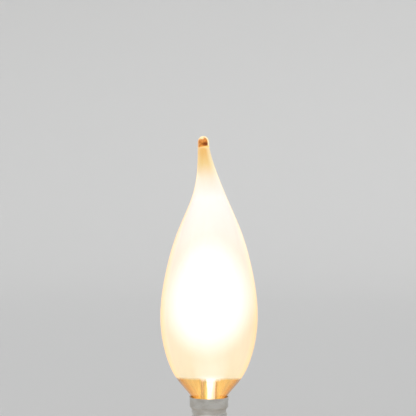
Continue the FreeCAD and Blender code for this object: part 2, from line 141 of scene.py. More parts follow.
def calc(material, operation, *values):
    """Works through outputs and numbers with one operation, from left to right."""
    result = values[0]
    for value in values[1:]:
        node = add_node(material, "ShaderNodeMath", {"operation": operation})
        feed(material, result, node.inputs[0])
        feed(material, value, node.inputs[1])
        result = node.outputs[0]
    return result


def mix_colours(material, share, first, second):
    """The first colour where a share is 0, and the second where it is 1."""
    node = add_node(material, "ShaderNodeMix", {"data_type": "RGBA"})
    feed(material, share, node.inputs["Factor"])
    colour_sockets = [socket for socket in node.inputs if socket.type == "RGBA"]
    feed(material, first, colour_sockets[0])
    feed(material, second, colour_sockets[1])
    return [socket for socket in node.outputs if socket.type == "RGBA"][0]

# %% [markdown]
# ## Helpers for places and views
# A finish changes with the place on the piece, with the way the surface faces the eye, or in soft patches. A
# share turns any such value into a number between 0 and 1. Further down, a pair of values in brackets says
# where a share is lowest and where it is 1.

# %% Place and share helpers
def object_place(material):
    """The output that gives each point's place on the piece."""
    return add_node(material, "ShaderNodeTexCoord").outputs["Object"]


def along(material, direction):
    """How far each point lies along a direction, in metres."""
    node = add_node(material, "ShaderNodeVectorMath", {"operation": "DOT_PRODUCT"})
    feed(material, object_place(material), node.inputs[0])
    node.inputs[1].default_value = direction
    return node.outputs["Value"]


def share_of(material, value, low, high, bottom=0.0, kind="LINEAR"):
    """Grows from the bottom to 1 while a value goes from low to high."""
    node = add_node(material, "ShaderNodeMapRange", {"interpolation_type": kind}, Value=value,
                    From_Min=low, From_Max=high, To_Min=bottom)
    return node.outputs["Result"]


def clouds(material, size, detail=2.0):
    """Soft noise whose patches have a set size along x, y and z."""
    stretch = add_node(material, "ShaderNodeVectorMath", {"operation": "MULTIPLY"})
    feed(material, object_place(material), stretch.inputs[0])
    stretch.inputs[1].default_value = [1 / length for length in size]
    noise = add_node(material, "ShaderNodeTexNoise", Vector=stretch.outputs["Vector"], Scale=1.0,
                     Detail=detail)
    return noise.outputs["Fac"]


def colour_ramp(material, share, stops):
    """A ramp through (share, colour) stops."""
    ramp = add_node(material, "ShaderNodeValToRGB", Fac=share)
    elements = ramp.color_ramp.elements
    while len(elements) < len(stops):
        elements.new(0.5)
    for element, (place, colour) in zip(elements, stops):
        element.position = place
        element.color = (*colour, 1)
    return ramp.outputs["Color"]

# %% View helpers
def facing(material):
    """0 where the surface faces the eye, 1 where it is seen edge on."""
    return add_node(material, "ShaderNodeLayerWeight", Blend=0.5).outputs["Facing"]


def outwards(material, axis=0.0):
    """The level direction to each point from an upright axis, which may stand a little to the right."""
    level = add_node(material, "ShaderNodeVectorMath", {"operation": "MULTIPLY_ADD"})
    feed(material, object_place(material), level.inputs[0])
    level.inputs[1].default_value = (1, 1, 0)
    level.inputs[2].default_value = (-axis, 0, 0)
    unit = add_node(material, "ShaderNodeVectorMath", {"operation": "NORMALIZE"})
    feed(material, level.outputs["Vector"], unit.inputs[0])
    return unit.outputs["Vector"]


def level_facing(material, axis=0.0):
    """The facing value of an upright wall round an axis, however the real wall slopes."""
    node = add_node(material, "ShaderNodeLayerWeight", Blend=0.5, Normal=outwards(material, axis))
    return node.outputs["Facing"]

# %% [markdown]
# ## The frosting and its light
# The inside of the flame is etched white. The hot coil sits behind it, at the height of the belly, so the
# frosting glows: cream low down, nearly white towards the neck of the tail, and amber in the tail itself. A
# lamp behind a skin that scatters light could give this too, but it renders slowly and with noise, and an
# exported model would lose it. So a ramp over the height carries the colours as emission. It leans a little,
# as the coil hangs a little askew.

# %% Frosting glow
FROST_LINE = 27.75 * MM
FROST_EDGE = 0.9 * MM
FROST_LEAN = (0.012, 0, 1)
FROST_SAG = 0.75 * MM
SAG_REACH = 10 * MM
GLOW_STRENGTH = 1.3
GLOW_LEAN = (-0.06, 0, 1)
GLOW = [
    (27.0, (0.72, 0.61, 0.40)),
    (46.0, (0.74, 0.63, 0.46)),
    (66.0, (0.77, 0.67, 0.57)),
    (85.0, (0.79, 0.73, 0.71)),
    (91.5, (0.74, 0.62, 0.49)),
    (96.5, (0.66, 0.46, 0.18)),
    (100.0, (0.64, 0.37, 0.10)),
]


def frost_height(material):
    """Height as the frosting's edge takes it: the edge sags at both sides, and more on the right."""
    side = calc(material, "MULTIPLY", along(material, RIGHT), 1 / SAG_REACH)
    return calc(material, "ADD", along(material, FROST_LEAN),
                calc(material, "MULTIPLY", side, side, side, side, FROST_SAG))


def by_height(material, value, stops):
    """A colour ramp whose stops are heights in millimetres."""
    places = [(height * MM / BULB_HEIGHT, colour) for height, colour in stops]
    return colour_ramp(material, share_of(material, value, 0, BULB_HEIGHT), places)

# %% [markdown]
# ## The burnt-out oval
# An etched skin sends most light straight on, so where the eye looks through it towards the coil it sees a
# burnt-out oval, which fades before the edge of the flame. Painted on the front it would be seen from one
# side only, so its width follows the facing value. The eye looks through the outer glass, which bends its
# line towards the middle, so the facing value of the inner skin stays small and grows about as the square of
# the way to the edge. That makes the oval a plain sum of that value and the square of a height.

# %% Bright oval
OVAL_WHITE = (1.0, 1.0, 0.97, 1)
OVAL_HEIGHT = 53.5 * MM
OVAL_REACH = 14.0 * MM
OVAL_WIDTH = 8.6
OVAL_FADE = (2.5, -0.2)


def oval_share(material, height):
    up = calc(material, "MULTIPLY", calc(material, "SUBTRACT", height, OVAL_HEIGHT), 1 / OVAL_REACH)
    out = calc(material, "MULTIPLY", facing(material), OVAL_WIDTH)
    way = calc(material, "ADD", calc(material, "MULTIPLY", up, up), out)
    return share_of(material, way, *OVAL_FADE, kind="SMOOTHSTEP")

# %% [markdown]
# ## Light edges of the tail
# In the thin tail the edges are lighter, as more of the lit skin lies behind each point: nearly white on both
# sides where the tail begins, and cream on the right only further up. Three shares are multiplied, for the
# height, the edge and the side, so each can be set on its own.

# %% Tail edges
TAIL_LIGHT = [
    (90.0, (0.81, 0.81, 0.77)),
    (93.0, (0.8, 0.79, 0.62)),
    (96.0, (0.79, 0.74, 0.5)),
]
TAIL_SHARE = 0.7
TAIL_START = (84 * MM, 92 * MM)
TAIL_EDGES = (0.06, 0.32)
TAIL_RIGHT = (-4.5 * MM, 1.5 * MM)
TAIL_BOTH_SIDES = (95 * MM, 92 * MM)


def tail_share(material):
    height = along(material, UP)
    side = calc(material, "MAXIMUM", share_of(material, along(material, RIGHT), *TAIL_RIGHT),
                share_of(material, height, *TAIL_BOTH_SIDES))
    return calc(material, "MULTIPLY", share_of(material, height, *TAIL_START),
                share_of(material, facing(material), *TAIL_EDGES), side, TAIL_SHARE)

# %% [markdown]
# ## Light from the stem
# Low down, the bright tube in the stem shines through the frosting: a little from far, and strongly just over
# the frosting's edge. The wall slopes there and never quite faces the eye, so this light reads the facing
# value of an upright wall in its place. The tube leans to the right, so the light is centred a little to the
# right of the bulb's axis. The lower right side of the flame is a touch warmer than the rest.

# %% Stem light and warm side
CORE_AXIS = 0.4 * MM
FAR_SHINE = 0.25
FAR_SHINE_HEIGHT = (40 * MM, FROST_LINE)
NEAR_SHINE = 0.35
NEAR_SHINE_HEIGHT = (29.2 * MM, FROST_LINE)
STEM_SPREAD = (0.06, 0.0)
WARM_SIDE = (0.74, 0.55, 0.33, 1)
WARM_SIDE_SHARE = 0.5
WARM_SIDE_FOOT = (30 * MM, 37 * MM)
WARM_SIDE_TOP = (51 * MM, 44 * MM)
WARM_SIDE_EDGE = (10 * MM, 14.5 * MM)


def stem_share(material):
    height = along(material, UP)
    far_shine = calc(material, "MULTIPLY", share_of(material, height, *FAR_SHINE_HEIGHT), FAR_SHINE)
    near_shine = calc(material, "MULTIPLY", share_of(material, height, *NEAR_SHINE_HEIGHT), NEAR_SHINE)
    return calc(material, "MULTIPLY", calc(material, "ADD", far_shine, near_shine),
                share_of(material, level_facing(material, CORE_AXIS), *STEM_SPREAD))


def warm_side_share(material):
    height = along(material, UP)
    return calc(material, "MULTIPLY", share_of(material, height, *WARM_SIDE_FOOT),
                share_of(material, height, *WARM_SIDE_TOP),
                share_of(material, along(material, RIGHT), *WARM_SIDE_EDGE), WARM_SIDE_SHARE)

# %% [markdown]
# ## The frosted finish
# The lights lie over each other in one emission colour: the ramp over the height, the warm side, the oval,
# the tail's edges and the stem's light. The etching is never quite even, so soft upright patches dim them by
# up to a twentieth.

# %% Frosted finish
FROST_COLOUR = (0.16, 0.13, 0.09, 1)
WASH_SIZE = (2.5 * MM, 2.5 * MM, 9 * MM)
WASH_FADE = (0.2, 0.8)
WASH_FLOOR = 0.95


def frost_finish(name):
    material, shader = finish(name, Base_Color=FROST_COLOUR, Roughness=0.8)
    height = along(material, GLOW_LEAN)
    glow = mix_colours(material, warm_side_share(material), by_height(material, height, GLOW), WARM_SIDE)
    glow = mix_colours(material, oval_share(material, height), glow, OVAL_WHITE)
    tail_light = by_height(material, along(material, UP), TAIL_LIGHT)
    glow = mix_colours(material, tail_share(material), glow, tail_light)
    glow = mix_colours(material, stem_share(material), glow, OVAL_WHITE)
    feed(material, glow, shader.inputs["Emission Color"])
    wash = share_of(material, clouds(material, WASH_SIZE, detail=4), *WASH_FADE, bottom=WASH_FLOOR)
    feed(material, calc(material, "MULTIPLY", wash, GLOW_STRENGTH), shader.inputs["Emission Strength"])
    return material, shader


frosting, _ = frost_finish("inside_frosting")
print("frosting: %d glow stops, oval round %.1f mm" % (len(GLOW), OVAL_HEIGHT / MM))

# %% [markdown]
# ## Clear glass
# The outside of the flame is smooth, clear glass. At its very edge the eye looks along the wall, and the
# light that is led up inside it comes out there, cream and then amber, so tint and glow follow a Layer
# Weight. The outline is warmest low down and on the left. Below the frost line the wall leads less light, and
# its edges turn brown. Blown glass is never quite even either: a faint slow wave in the surface bends what it
# mirrors.

# %% Tints of the wall
WALL_TINT = [
    (0.0, (1.0, 1.0, 1.0)),
    (0.55, (1.0, 1.0, 0.98)),
    (0.78, (1.0, 0.95, 0.8)),
    (1.0, (0.95, 0.6, 0.25)),
]
WARM_TINT = [
    (0.0, (1.0, 1.0, 1.0)),
    (0.55, (1.0, 0.98, 0.95)),
    (0.74, (1.0, 0.85, 0.58)),
    (0.85, (1.0, 0.52, 0.18)),
    (1.0, (0.8, 0.4, 0.12)),
]
CONE_TINT = [
    (0.0, (1.0, 1.0, 1.0)),
    (0.4, (0.98, 0.93, 0.8)),
    (0.62, (0.6, 0.3, 0.07)),
    (0.82, (0.38, 0.12, 0.02)),
]
WALL_LIGHT = [
    (0.5, (0.0, 0.0, 0.0)),
    (0.76, (0.20, 0.12, 0.03)),
    (1.0, (0.5, 0.32, 0.12)),
]

# %% Clear glass
GLASS_IOR = 1.5
WARM_BELOW = (68 * MM, 52 * MM)
WARM_LEFT = (-2 * MM, 6 * MM)
WALL_FROST = (FROST_LINE - 0.5 * MM, FROST_LINE + 0.5 * MM)
WALL_WAVE = (9 * MM, 9 * MM, 30 * MM)
WALL_WAVE_HEIGHT = 0.05 * MM


def tint_by_facing(material, stops):
    return colour_ramp(material, facing(material), stops)


def wavy(material, size, height):
    """A bump made of soft noise."""
    bump = add_node(material, "ShaderNodeBump", Height=clouds(material, size), Distance=height)
    return bump.outputs["Normal"]


clear_glass, clear_shader = finish("clear_glass", Roughness=0.0, IOR=GLASS_IOR, Transmission_Weight=1.0)
warm_share = calc(clear_glass, "MAXIMUM", share_of(clear_glass, along(clear_glass, UP), *WARM_BELOW),
                  share_of(clear_glass, along(clear_glass, LEFT), *WARM_LEFT))
wall_tint = mix_colours(clear_glass, warm_share, tint_by_facing(clear_glass, WALL_TINT),
                        tint_by_facing(clear_glass, WARM_TINT))
frosted_share = share_of(clear_glass, frost_height(clear_glass), *WALL_FROST)
wall_tint = mix_colours(clear_glass, frosted_share, tint_by_facing(clear_glass, CONE_TINT), wall_tint)
feed(clear_glass, wall_tint, clear_shader.inputs["Base Color"])
feed(clear_glass, tint_by_facing(clear_glass, WALL_LIGHT), clear_shader.inputs["Emission Color"])
feed(clear_glass, frosted_share, clear_shader.inputs["Emission Strength"])
feed(clear_glass, wavy(clear_glass, WALL_WAVE, WALL_WAVE_HEIGHT), clear_shader.inputs["Normal"])

# %% [markdown]
# Below the frost line the inside is clear too, apart from a breath of frost that catches the warm light in
# upright streaks, where the etching bath ran off. Noise that reads only the direction round the axis has the
# same value all the way up the wall, so it makes such streaks, and they draw together towards the neck. Edge
# on the wall is darker there, and right under the frosting the bright tube lights the haze in front of it.

# %% Hazed glass
HAZE_LIGHT = [(0.1, (1.0, 0.71, 0.24)), (0.3, (0.95, 0.54, 0.13))]
HAZE_STRENGTH = 0.47
HAZE_BASE = {"Base_Color": (0.8, 0.48, 0.13, 1), "Roughness": 0.04, "IOR": GLASS_IOR,
             "Transmission_Weight": 1.0}
STREAK_SCALE = 9
STREAK_FADE = (0.32, 0.68)
STREAK_FLOOR = 0.6
HAZE_PATCH = (2 * MM, 2 * MM, 5 * MM)
PATCH_FADE = (0.3, 0.7)
PATCH_FLOOR = 0.8
NECK_FADE = (FROST_LINE, 21.5 * MM)
NECK_FLOOR = 0.6
SHINE_COLOUR = (1.0, 1.0, 0.9, 1)
SHINE_HEIGHT = (26.7 * MM, 27.3 * MM)
SHINE_SPREAD = (0.034, 0.027)
SHINE_STRENGTH = 0.15


def lay_haze(material, shader):
    """Gives a shader the haze's light: streaks, patches and the tube's shine under the frosting."""
    haze_light = tint_by_facing(material, HAZE_LIGHT)
    round_noise = add_node(material, "ShaderNodeTexNoise", Vector=outwards(material), Scale=STREAK_SCALE,
                           Detail=4.0)
    streaks = share_of(material, round_noise.outputs["Fac"], *STREAK_FADE, bottom=STREAK_FLOOR)
    patches = share_of(material, clouds(material, HAZE_PATCH), *PATCH_FADE, bottom=PATCH_FLOOR)
    shine = calc(material, "MULTIPLY", share_of(material, along(material, UP), *SHINE_HEIGHT),
                 share_of(material, level_facing(material, CORE_AXIS), *SHINE_SPREAD))
    feed(material, mix_colours(material, shine, haze_light, SHINE_COLOUR), shader.inputs["Emission Color"])
    towards_neck = share_of(material, along(material, UP), *NECK_FADE, bottom=NECK_FLOOR)
    haze = calc(material, "MULTIPLY", streaks, patches, towards_neck, HAZE_STRENGTH)
    shine_strength = calc(material, "MULTIPLY", shine, SHINE_STRENGTH)
    feed(material, calc(material, "ADD", haze, shine_strength), shader.inputs["Emission Strength"])


hazed_glass, haze_shader = finish("hazed_glass", **HAZE_BASE)
lay_haze(hazed_glass, haze_shader)

# %% [markdown]
# ## The bead
# The tip is a solid bead, and all its colours are painted light in its emission. Light that runs up inside
# the wall leaves it at the bead's rim, most on its top and right, so the rim is painted cream there, with a
# broader painted glint on the top left. Its middle glows a painted orange brown, with a painted reflection
# low on the
# right: a dark spot, where the bead shows the unlit room upside down. A thin lit skin, a little askew, closes
# the cavity below it. Spot and glint come from the distance to a point. All places are squeezed sideways
# first, which makes each circle a lying oval, and flattened from front to back, so that both sides of the
# bead show them.

# %% Bead colours
# All colours here but the base are painted light in the bead's emission: the dark one is a painted
# reflection, the cream one a painted highlight.
BEAD_BASE = (0.06, 0.015, 0.002, 1)
BEAD_BROWN = (0.7, 0.29, 0.05, 1)
BEAD_PAINTED_REFLECTION = (0.15, 0.03, 0.0, 1)
BEAD_CREAM = (1.0, 0.88, 0.5, 1)
BEAD_FLOOR = (0.9, 0.64, 0.24, 1)
MOTTLE_SIZE = (0.5 * MM, 0.5 * MM, 0.5 * MM)
MOTTLE_FADE = (0.35, 0.65)
MOTTLE_FLOOR = 0.4

# %% Bead places
BEAD_SPOT = Vector((-1.1, 0, 102.85)) * MM
SPOT_FLATTEN = Vector((0.55, 0, 1))
SPOT_FADE = (0.3 * MM, 0.85 * MM)
BEAD_GLINT = Vector((-2.35, 0, 104.8)) * MM
GLINT_FLATTEN = Vector((0.6, 0, 1))
GLINT_FADE = (0.65 * MM, 0.2 * MM)
RIM_FACING = (0.3, 0.46)
RIM_LEAN = (1, 0, 1)
RIM_FADE = (100.6 * MM, 101.9 * MM)
RIM_FLOOR = 0.2
FLOOR_SLOPE = (-0.19, 0, 1)
FLOOR_FADE = (102.45 * MM, 102.2 * MM)


def distance_from(material, centre, flatten):
    """The distance of each point from a centre, after both are squeezed along x and flattened along y."""
    flat = add_node(material, "ShaderNodeVectorMath", {"operation": "MULTIPLY"})
    feed(material, object_place(material), flat.inputs[0])
    flat.inputs[1].default_value = flatten
    gap = add_node(material, "ShaderNodeVectorMath", {"operation": "DISTANCE"})
    feed(material, flat.outputs["Vector"], gap.inputs[0])
    gap.inputs[1].default_value = centre * flatten
    return gap.outputs["Value"]

# %% Bead glass
bead_glass, bead_shader = finish("bead_glass", Base_Color=BEAD_BASE, Roughness=0.0, IOR=GLASS_IOR,
                                 Transmission_Weight=1.0, Emission_Strength=1.0)
# Spot, mottle, rim and glint all go into painted light: the dark spot is a painted reflection, rim and glint
# are painted highlights.
outside_spot = share_of(bead_glass, distance_from(bead_glass, BEAD_SPOT, SPOT_FLATTEN), *SPOT_FADE)
mottle = share_of(bead_glass, clouds(bead_glass, MOTTLE_SIZE), *MOTTLE_FADE, bottom=MOTTLE_FLOOR)
brown_share = calc(bead_glass, "MULTIPLY", outside_spot, mottle)
bead_painted_light = mix_colours(bead_glass, brown_share, BEAD_PAINTED_REFLECTION, BEAD_BROWN)
lit_rim = calc(bead_glass, "MULTIPLY", share_of(bead_glass, facing(bead_glass), *RIM_FACING),
               share_of(bead_glass, along(bead_glass, RIM_LEAN), *RIM_FADE, bottom=RIM_FLOOR))
glint = share_of(bead_glass, distance_from(bead_glass, BEAD_GLINT, GLINT_FLATTEN), *GLINT_FADE)
cream_light = calc(bead_glass, "MAXIMUM", lit_rim, glint)
bead_painted_light = mix_colours(bead_glass, cream_light, bead_painted_light, BEAD_CREAM)
floor_share = share_of(bead_glass, along(bead_glass, FLOOR_SLOPE), *FLOOR_FADE)
bead_painted_light = mix_colours(bead_glass, floor_share, bead_painted_light, BEAD_FLOOR)
feed(bead_glass, bead_painted_light, bead_shader.inputs["Emission Color"])

# %% [markdown]
# ## The frost line
# At the frost line the etching fades out over about a millimetre. A narrow band of faces mixes both finishes
# there, by height, so the border is soft and the faces on each side keep a plain shader. Soft noise makes the
# border run a little up and down.

# %% Frost edge
BORDER_PATCH = (4 * MM, 4 * MM, 4 * MM)
BORDER_FADE = (FROST_LINE + FROST_EDGE / 2, FROST_LINE - FROST_EDGE / 2)
edge_frost, edge_shader = frost_finish("frost_edge")
edge_haze = add_node(edge_frost, "ShaderNodeBsdfPrincipled", **HAZE_BASE)
lay_haze(edge_frost, edge_haze)
edge_mix = add_node(edge_frost, "ShaderNodeMixShader")
border_noise = calc(edge_frost, "MULTIPLY", clouds(edge_frost, BORDER_PATCH), FROST_EDGE)
edge_height = calc(edge_frost, "ADD", frost_height(edge_frost), border_noise, -FROST_EDGE / 2)
feed(edge_frost, share_of(edge_frost, edge_height, *BORDER_FADE), edge_mix.inputs["Fac"])
feed(edge_frost, edge_shader.outputs["BSDF"], edge_mix.inputs[1])
feed(edge_frost, edge_haze.outputs["BSDF"], edge_mix.inputs[2])
edge_output = edge_frost.node_tree.nodes["Material Output"]
feed(edge_frost, edge_mix.outputs["Shader"], edge_output.inputs["Surface"])

# %% [markdown]
# ## A train of rings
# A level cut through the flame is a circle at every height, and so is one through a rolled thread: only its
# middle wanders. A spin turns a profile round one straight axis and can't follow that, so both are made by
# one helper. It starts from a circle, extrudes its edges, and sends each new ring to its own middle and
# radius. A wall with two skins is one long train: along the outside, over the rim and back along the inside,
# so nothing has to be bridged and the faces all turn the same way.

# %% Ring helpers
def raise_rings(bm, rings, segments):
    """Draws a skin through (middle, radius, finish) rings. Returns the first and the last edge loop."""
    middle, radius, _ = rings[0]
    made = bmesh.ops.create_circle(bm, segments=segments, radius=radius, matrix=Matrix.Translation(middle))
    loop = list(dict.fromkeys(edge for vert in made["verts"] for edge in vert.link_edges))
    first = loop
    for next_middle, next_radius, finish_index in rings[1:]:
        geometry = bmesh.ops.extrude_edge_only(bm, edges=loop)["geom"]
        verts = [item for item in geometry if isinstance(item, bmesh.types.BMVert)]
        fresh = set(verts)
        loop = [item for item in geometry
                if isinstance(item, bmesh.types.BMEdge) and fresh.issuperset(item.verts)]
        for edge in loop:
            for face in edge.link_faces:
                face.material_index = finish_index
        move = (Matrix.Translation(next_middle) @ Matrix.Scale(next_radius / radius, 4)
                @ Matrix.Translation(-middle))
        bmesh.ops.transform(bm, matrix=move, verts=verts)
        middle, radius = next_middle, next_radius
    return first, loop


def close_at(bm, loop, pole, finish_index=0):
    """Closes a loop with a fan of faces that meet at a pole."""
    geometry = bmesh.ops.extrude_edge_only(bm, edges=loop)["geom"]
    for item in geometry:
        if isinstance(item, bmesh.types.BMFace):
            item.material_index = finish_index
    verts = [item for item in geometry if isinstance(item, bmesh.types.BMVert)]
    bmesh.ops.pointmerge(bm, verts=verts, merge_co=pole)

# %% Piece helpers
def smooth_object(name, bm, materials):
    """Turns a bmesh into an object with smooth faces, and frees the bmesh."""
    for face in bm.faces:
        face.smooth = True
    mesh = bpy.data.meshes.new(name)
    bm.to_mesh(mesh)
    bm.free()
    for material in materials:
        mesh.materials.append(material)
    return add_object(name, mesh)


def make_piece(name, bm, materials):
    """Turns a bmesh into a smooth piece of the bulb, with its faces pointing outwards."""
    bmesh.ops.recalc_face_normals(bm, faces=bm.faces)
    piece = smooth_object(name, bm, materials)
    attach(piece, "root")
    print("%s: %d faces" % (name, len(piece.data.polygons)))
    return piece

# %% [markdown]
# ## Reading the flame from the frame
# The solid glass already has the right form, but its mesh is loose triangles, which a Subdivision Surface
# can't round. So its rings are read from it. A ray from the left and one from the right touch the wall at
# each height: halfway between them is the ring's middle. The same is done from the middle outwards for the
# cavity.

# %% Measuring rays
FAR = 0.1


def touch(node, start, direction):
    """The first point of a node that a ray meets."""
    hit, place, _, _ = node.ray_cast(start, direction)
    if not hit:
        raise RuntimeError("no wall of %s at height %.2f mm" % (node.name, start.z / MM))
    return place


def ring_between(left, right):
    return (left + right) / 2, (right.x - left.x) / 2


def outside_ring(node, height):
    return ring_between(touch(node, Vector((-FAR, 0, height)), RIGHT),
                        touch(node, Vector((FAR, 0, height)), LEFT))


def inside_ring(node, height):
    middle, _ = outside_ring(node, height)
    return ring_between(touch(node, middle, LEFT), touch(node, middle, RIGHT))


def steps(low, high, count):
    """Evenly spread values from low to high, both included."""
    return [low + (high - low) * number / (count - 1) for number in range(count)]

# %% [markdown]
# ## The blown glass
# The flame is blown as one wall of glass, drawn out to a thin tail and melted off there, which leaves the
# solid bead. The train of rings starts at the bead, goes down the outside, round the open end of the neck
# and up the inside to the small drip of glass that hangs into the cavity. Each ring names the finish of the
# faces that lead to it. A Subdivision Surface then rounds the steps between the rings.

# %% Places on the glass
NECK_TOP = 26.0 * MM
BEAD_RADIUS = 1.82 * MM
DRIP = 0.35 * MM
BELOW_DRIP = 8 * MM
RIM_STEP = 0.02 * MM
glass_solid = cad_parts["glass_envelope"]
glass_low, glass_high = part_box("glass_envelope")
neck_end = glass_low.z + RIM_STEP
bead_height = glass_high.z - BEAD_RADIUS
bead_middle, bead_radius = outside_ring(glass_solid, bead_height)
drip_foot = touch(glass_solid, Vector((bead_middle.x, 0, glass_high.z - BELOW_DRIP)), UP)
cavity_top = drip_foot.z + DRIP
print("bead %.2f mm, cavity top at %.2f mm" % (bead_radius / MM, cavity_top / MM))

# %% Rings of the glass
BEAD_DEGREES = (68, 48, 25)
BEAD_RINGS = 4
WALL_RINGS = 42
CONE_RINGS = 10
CLEAR, BEAD, FROST, EDGE, HAZED = range(5)
outside = []
for degrees in BEAD_DEGREES:
    angle = math.radians(degrees)
    outside.append((bead_middle + UP * bead_radius * math.sin(angle), bead_radius * math.cos(angle), BEAD))
for height in steps(bead_height, cavity_top, BEAD_RINGS):
    outside.append((*outside_ring(glass_solid, height), BEAD))
for height in steps(cavity_top, NECK_TOP, WALL_RINGS)[1:] + steps(NECK_TOP, neck_end, CONE_RINGS)[1:]:
    outside.append((*outside_ring(glass_solid, height), CLEAR))

inside = []
for height in steps(neck_end, FROST_LINE - 2 * FROST_EDGE, CONE_RINGS):
    inside.append((*inside_ring(glass_solid, height), HAZED))
for height in (FROST_LINE - FROST_EDGE / 2, FROST_LINE + FROST_EDGE):
    inside.append((*inside_ring(glass_solid, height), EDGE))
for height in steps(FROST_LINE + FROST_EDGE, cavity_top - RIM_STEP, WALL_RINGS)[1:]:
    inside.append((*inside_ring(glass_solid, height), FROST))
print("glass: %d rings outside, %d inside" % (len(outside), len(inside)))

# %% Skins of the glass
GLASS_SEGMENTS = 64
bm = bmesh.new()
bead_loop, drip_loop = raise_rings(bm, outside + inside, GLASS_SEGMENTS)
close_at(bm, bead_loop, bead_middle + UP * bead_radius, BEAD)
close_at(bm, drip_loop, drip_foot, FROST)
blown_glass = make_piece("blown_glass", bm, [clear_glass, bead_glass, frosting, edge_frost, hazed_glass])
rounding = blown_glass.modifiers.new("rounding", "SUBSURF")
rounding.levels = 1
rounding.render_levels = 1
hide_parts("glass_envelope")

# %% [markdown]
# ## The coil
# The filament is a fine coil of tungsten, bent into three quarters of a ring. A Screw modifier could wind a
# straight coil, which would then have to be bent. Here the place of each point on the ring is worked out, so
# one long line makes the coil, and a round bevel gives it its thickness. The line's end caps are loose until
# their points are merged.

# %% Coil line
COIL_WIRE = 0.07 * MM
COIL_TURNS = 104
COIL_STEPS = 12
GAP_ANGLE = math.radians(93)
coil_low, coil_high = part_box("filament")
coil_height = (coil_low.z + coil_high.z) / 2
coil_radius = (coil_high.z - coil_low.z) / 2 - COIL_WIRE
ring_radius = coil_high.x - (coil_high.z - coil_low.z) / 2

coil_line = bpy.data.curves.new("filament_line", "CURVE")
coil_line.dimensions = "3D"
coil_line.bevel_depth = COIL_WIRE
coil_line.bevel_resolution = 1
coil_line.use_fill_caps = True
spline = coil_line.splines.new("POLY")
point_count = COIL_TURNS * COIL_STEPS
spline.points.add(point_count)
for number, point in enumerate(spline.points):
    share = number / point_count
    ring_angle = math.pi / 2 + GAP_ANGLE / 2 + share * (2 * math.pi - GAP_ANGLE)
    coil_angle = 2 * math.pi * COIL_TURNS * share
    reach = ring_radius + coil_radius * math.cos(coil_angle)
    point.co = (reach * math.cos(ring_angle), reach * math.sin(ring_angle),
                coil_height + coil_radius * math.sin(coil_angle), 1)

# %% Coil mesh
MERGE_DISTANCE = 0.0005 * MM
drawn_line = add_object("filament_line", coil_line)
bpy.context.view_layer.update()
coil_mesh = bpy.data.meshes.new_from_object(drawn_line)
bpy.data.objects.remove(drawn_line)
bm = bmesh.new()
bm.from_mesh(coil_mesh)
bmesh.ops.remove_doubles(bm, verts=bm.verts, dist=MERGE_DISTANCE)
bm.to_mesh(coil_mesh)
bm.free()
filament_coil = add_object("filament_coil", coil_mesh)
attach(filament_coil, "root")
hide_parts("filament")
print("coil: %d turns, %d faces" % (COIL_TURNS, len(coil_mesh.polygons)))

# %% [markdown]
# The coil burns nearly white, but its two ends on the +Y side are orange, because the wires that hold them
# draw the heat away.

# %% White heat
HEAT = [(0.0, (1.0, 0.3, 0.06)), (1.0, (1.0, 0.78, 0.5))]
HEAT_STRENGTH = 5.0
END_STRENGTH = 0.2
COIL_GRAIN = (0.1 * MM, 0.1 * MM, 0.1 * MM)
END_FADE = (-0.7 * ring_radius, -0.3 * ring_radius)
white_heat, heat_shader = finish("white_heat", Base_Color=(0.2, 0.18, 0.16, 1), Metallic=1.0)
from_ends = share_of(white_heat, along(white_heat, (0, -1, 0)), *END_FADE)
feed(white_heat, colour_ramp(white_heat, from_ends, HEAT), heat_shader.inputs["Emission Color"])
heat_strength = calc(white_heat, "MULTIPLY", calc(white_heat, "ADD", from_ends, END_STRENGTH), HEAT_STRENGTH)
feed(white_heat, heat_strength, heat_shader.inputs["Emission Strength"])
feed(white_heat, clouds(white_heat, COIL_GRAIN), heat_shader.inputs["Roughness"])
coil_mesh.materials.clear()
coil_mesh.materials.append(white_heat)

# %% [markdown]
# ## The cap
# The cap is rolled from thin sheet: a turned-in foot that grips the black glass, a round thread, and a plain
# skirt that is flared a little at the rim. A Screw modifier could wind the thread, but its two ends would
# have to be joined to the plain parts by hand. A level cut through the thread is a circle whose middle goes
# round a small circle once a turn. Where that small circle fades to nothing, the thread runs out by itself.

# %% Cap sizes
CAP_WALL = 0.25 * MM
THREAD_MAJOR = 11.89 * MM
THREAD_MINOR = 10.62 * MM
THREAD_PITCH = 2.54 * MM
THREAD_BOTTOM = 5.0 * MM
THREAD_TOP = 16.6 * MM
THREAD_RUNOUT = 0.7
THREAD_STEPS = 24
SIDE_LEAD_ANGLE = math.radians(60)
SKIRT_RADIUS = 6.3 * MM
SKIRT_BOTTOM = 17.4 * MM
SKIRT_CREASE = 0.1 * MM
CREASE_STEP = 0.09 * MM
RIM_HEIGHT = 1.0 * MM
RIM_ROUND = 0.05 * MM
RIM_SIDE_STEP = 0.01 * MM
RIM_TOP_STEP = 0.02 * MM
LIP_RADIUS = 3.7 * MM
FOOT_RINGS = 8
cap_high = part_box("cap_shell")[1]
cap_rim = cap_high.z
rim_radius = cap_high.x
thread_mean = (THREAD_MAJOR + THREAD_MINOR) / 4
thread_wave = (THREAD_MAJOR - THREAD_MINOR) / 4
print("cap: rim at %.2f mm, %.2f mm wide" % (cap_rim / MM, 2 * rim_radius / MM))

# %% Cap rings
def thread_rings(wall):
    """Rings whose middles circle the axis once a turn, less and less towards both ends of the thread."""
    turns = (THREAD_TOP - THREAD_BOTTOM) / THREAD_PITCH
    rings = []
    for turn in steps(0, turns, round(turns * THREAD_STEPS)):
        fade = min(1, turn / THREAD_RUNOUT, (turns - turn) / THREAD_RUNOUT)
        wave = thread_wave * fade ** 2 * (3 - 2 * fade)
        angle = SIDE_LEAD_ANGLE + 2 * math.pi * (turn - turns + 0.5)
        middle = Vector((wave * math.cos(angle), wave * math.sin(angle), THREAD_BOTTOM + turn * THREAD_PITCH))
        rings.append((middle, thread_mean - wall, 0))
    return rings


